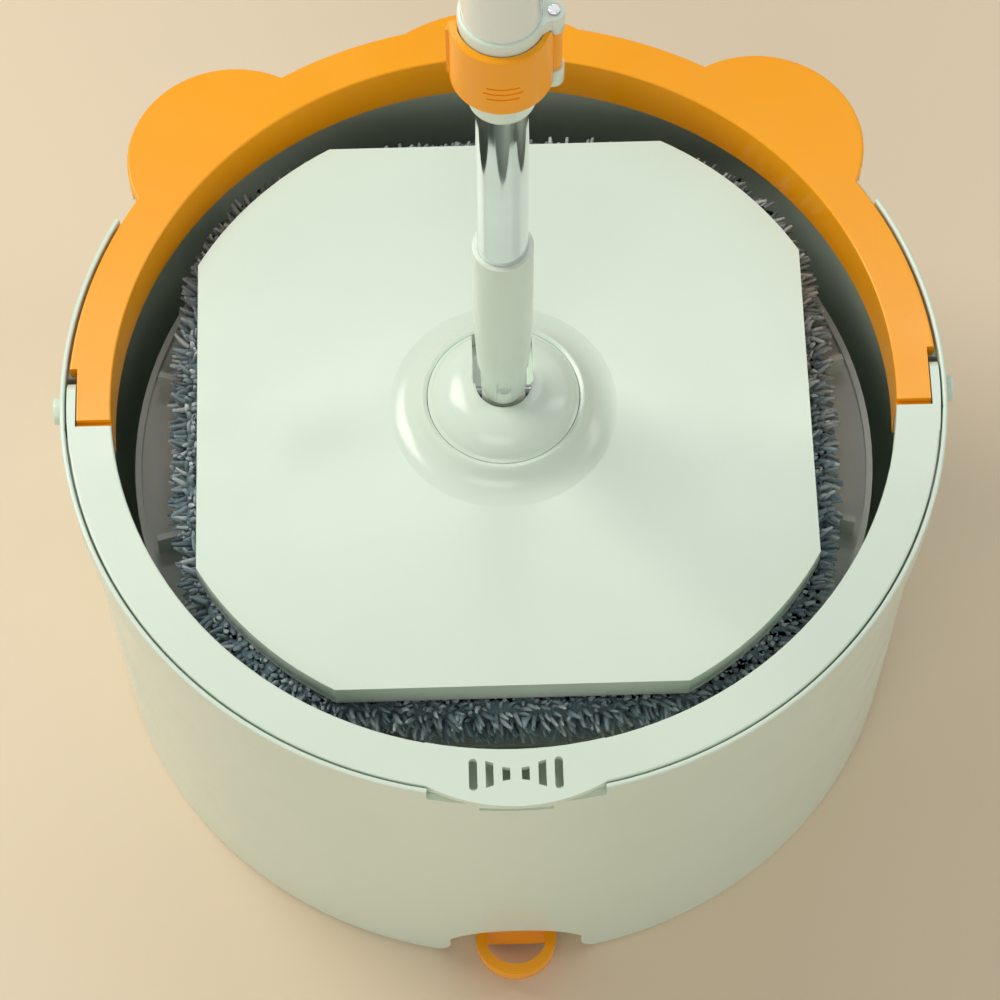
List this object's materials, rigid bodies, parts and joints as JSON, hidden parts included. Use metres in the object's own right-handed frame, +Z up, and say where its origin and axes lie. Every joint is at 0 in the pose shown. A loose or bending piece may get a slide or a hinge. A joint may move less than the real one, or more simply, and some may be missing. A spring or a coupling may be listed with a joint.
{
  "type": "spin mop",
  "caption": "Round wash bucket with a folding carry handle, eared splash guard, drain plug and turning seat, holding a square-headed mop whose pole spins the head when pressed.",
  "frame": {"origin": "centre of the bucket's base, on the floor it stands on", "axes": "+Z up along the pole, -Y towards the drain plug and the handle's front, +X to the right seen from the front"},
  "size_m": [0.3612, 0.3649, 1.068],
  "materials": {
    "mint_plastic": "gloss",
    "orange_plastic": "gloss",
    "white_plastic": "satin",
    "chromed_tube": "polished",
    "painted_tube": "gloss",
    "steel": "brushed",
    "rubber": "matte",
    "hook_tape": "woven",
    "microfibre": "pile"
  },
  "bodies": {
    "bucket": {"bucket": "mint_plastic", "handle_pins": "mint_plastic", "wash_tray": "white_plastic", "spindle": "steel", "spindle_nut": "steel", "spindle_clip": "steel"},
    "handle": {"carry_handle": "mint_plastic"},
    "guard": {"splash_guard": "orange_plastic"},
    "plug": {"drain_plug": "orange_plastic", "plug_seal": "rubber"},
    "seat": {"spin_seat": "white_plastic", "seat_bearings": "steel", "seat_cap": "white_plastic"},
    "head": {"head_plate": "mint_plastic", "head_base": "white_plastic", "head_screws": "steel", "hub_cap": "mint_plastic", "pitch_pin": "steel", "hook_strips": "hook_tape", "mop_pad": "microfibre"},
    "knuckle": {"knuckle": "white_plastic"},
    "lower_pole": {"lower_sleeve": "mint_plastic", "roll_pin": "steel", "sleeve_screw": "steel", "lower_tube": "chromed_tube", "drive_nut": "white_plastic", "guide_ring": "white_plastic"},
    "upper_pole": {"lock_collar": "mint_plastic", "collar_screw": "steel", "lever_pin": "steel", "upper_tube": "painted_tube", "clutch_housing": "white_plastic", "clutch_spring": "steel", "clutch_cap": "white_plastic", "grip": "mint_plastic", "end_cap": "orange_plastic", "clamp_shoe": "rubber"},
    "rod": {"twist_rod": "steel", "rod_stop": "white_plastic", "clutch_ratchet": "orange_plastic"},
    "lever": {"lock_lever": "orange_plastic"}
  },
  "joints": [
    {"name": "handle_swing", "type": "hinge", "parent": "bucket", "child": "handle", "pos_m": [0, 0, 0.181], "axis": [-1, 0, 0], "range_deg": [0, 80]},
    {"name": "guard_lift", "type": "slide", "parent": "bucket", "child": "guard", "axis": [0, 0, -1], "range_m": [-0.05, 0]},
    {"name": "plug_pull", "type": "slide", "parent": "bucket", "child": "plug", "axis": [0, -1, 0], "range_m": [0, 0.03]},
    {"name": "seat_spin", "type": "hinge", "parent": "bucket", "child": "seat", "pos_m": [0, 0, 0.15], "axis": [0, 0, 1], "continuous": true},
    {"name": "mop_lift", "type": "slide", "parent": "seat", "child": "head", "axis": [0, 0, 1], "range_m": [0, 0.25]},
    {"name": "pole_pitch", "type": "hinge", "parent": "head", "child": "knuckle", "pos_m": [0, 0, 0.188], "axis": [-1, 0, 0], "range_deg": [0, 70]},
    {"name": "pole_roll", "type": "hinge", "parent": "knuckle", "child": "lower_pole", "pos_m": [0, 0, 0.207], "axis": [0, 1, 0], "range_deg": [-30, 30]},
    {"name": "pole_plunge", "type": "slide", "parent": "lower_pole", "child": "upper_pole", "axis": [0, 0, 1], "range_m": [-0.1, 0.3]},
    {"name": "rod_turn", "type": "hinge", "parent": "upper_pole", "child": "rod", "pos_m": [0, 0, 0.92], "axis": [0, 0, 1], "range_deg": [-362, 1082]},
    {"name": "lever_swing", "type": "hinge", "parent": "upper_pole", "child": "lever", "pos_m": [0.0178, -0.001, 0.4376], "axis": [0, 0, 1], "range_deg": [0, 100]}
  ],
  "couplings": [
    {"joint": "rod_turn", "follows": "pole_plunge", "rad_per_m": 62.832}
  ]
}
